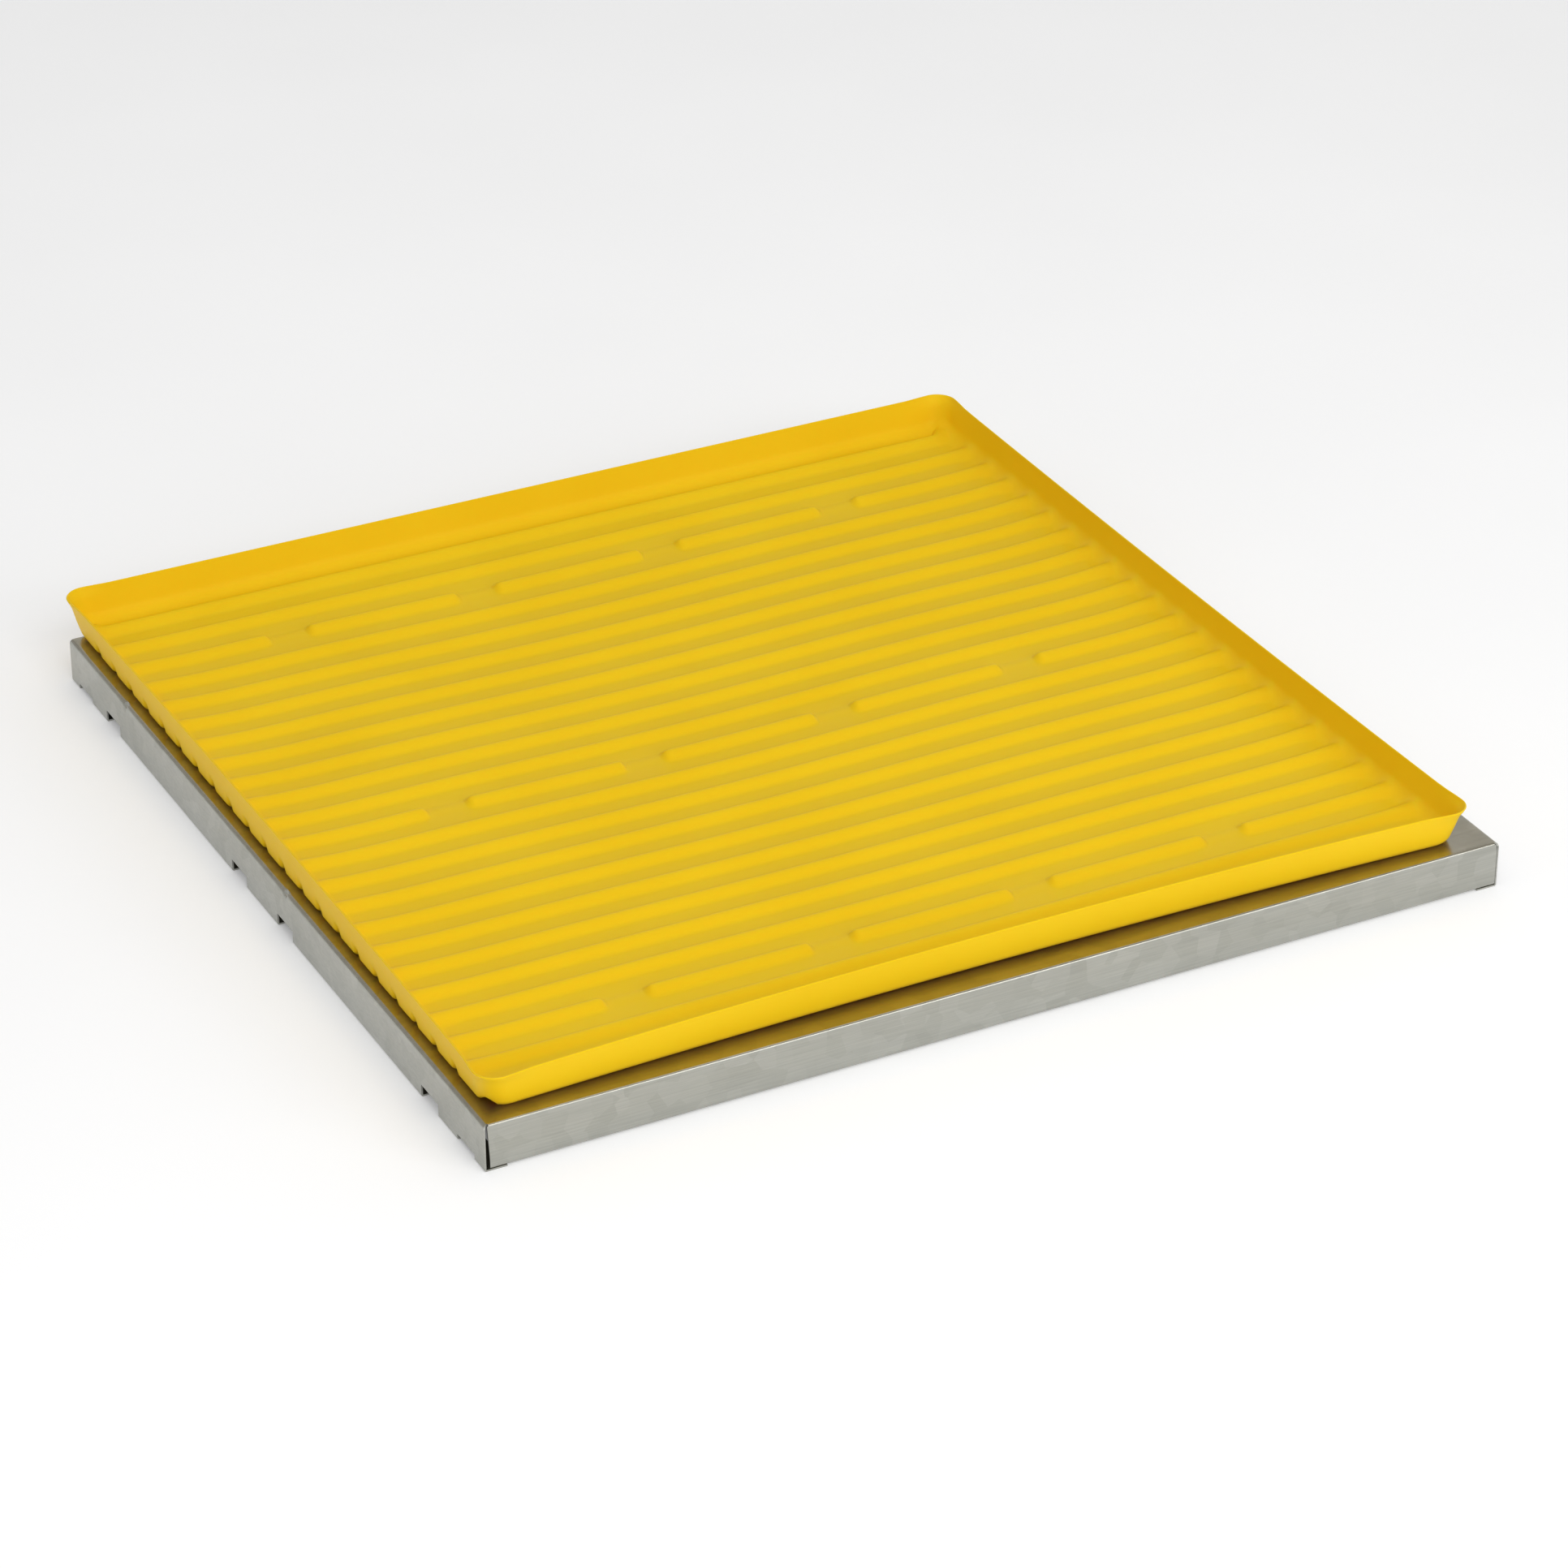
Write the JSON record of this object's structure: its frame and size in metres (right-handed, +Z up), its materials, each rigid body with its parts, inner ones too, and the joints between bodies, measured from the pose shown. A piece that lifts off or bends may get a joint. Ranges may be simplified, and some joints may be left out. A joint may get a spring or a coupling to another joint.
{
  "type": "spill containment shelf",
  "caption": "Folded sheet-metal shelf with a dished deck and a stiffener beneath it, carrying a low, ribbed plastic tray that catches spills and lifts off.",
  "frame": {"origin": "bottom of the shelf's flanges, in the middle of the whole footprint, tray rim included", "axes": "+Z up, +X to the right seen from the front, +Y to the rear, where the tray stands out past the shelf"},
  "size_m": [0.7714, 0.7556, 0.0642],
  "materials": {
    "galvanised_steel": "galvanised, satin",
    "yellow_polyethylene": "waxy satin"
  },
  "bodies": {
    "shelf": {"shelf_pan": "galvanised_steel", "centre_stiffener": "galvanised_steel"},
    "tray": {"spill_tray": "yellow_polyethylene"}
  },
  "joints": [
    {"name": "tray_lift", "type": "slide", "parent": "shelf", "child": "tray", "axis": [0, 0, 1], "range_m": [0, 0.1]}
  ]
}
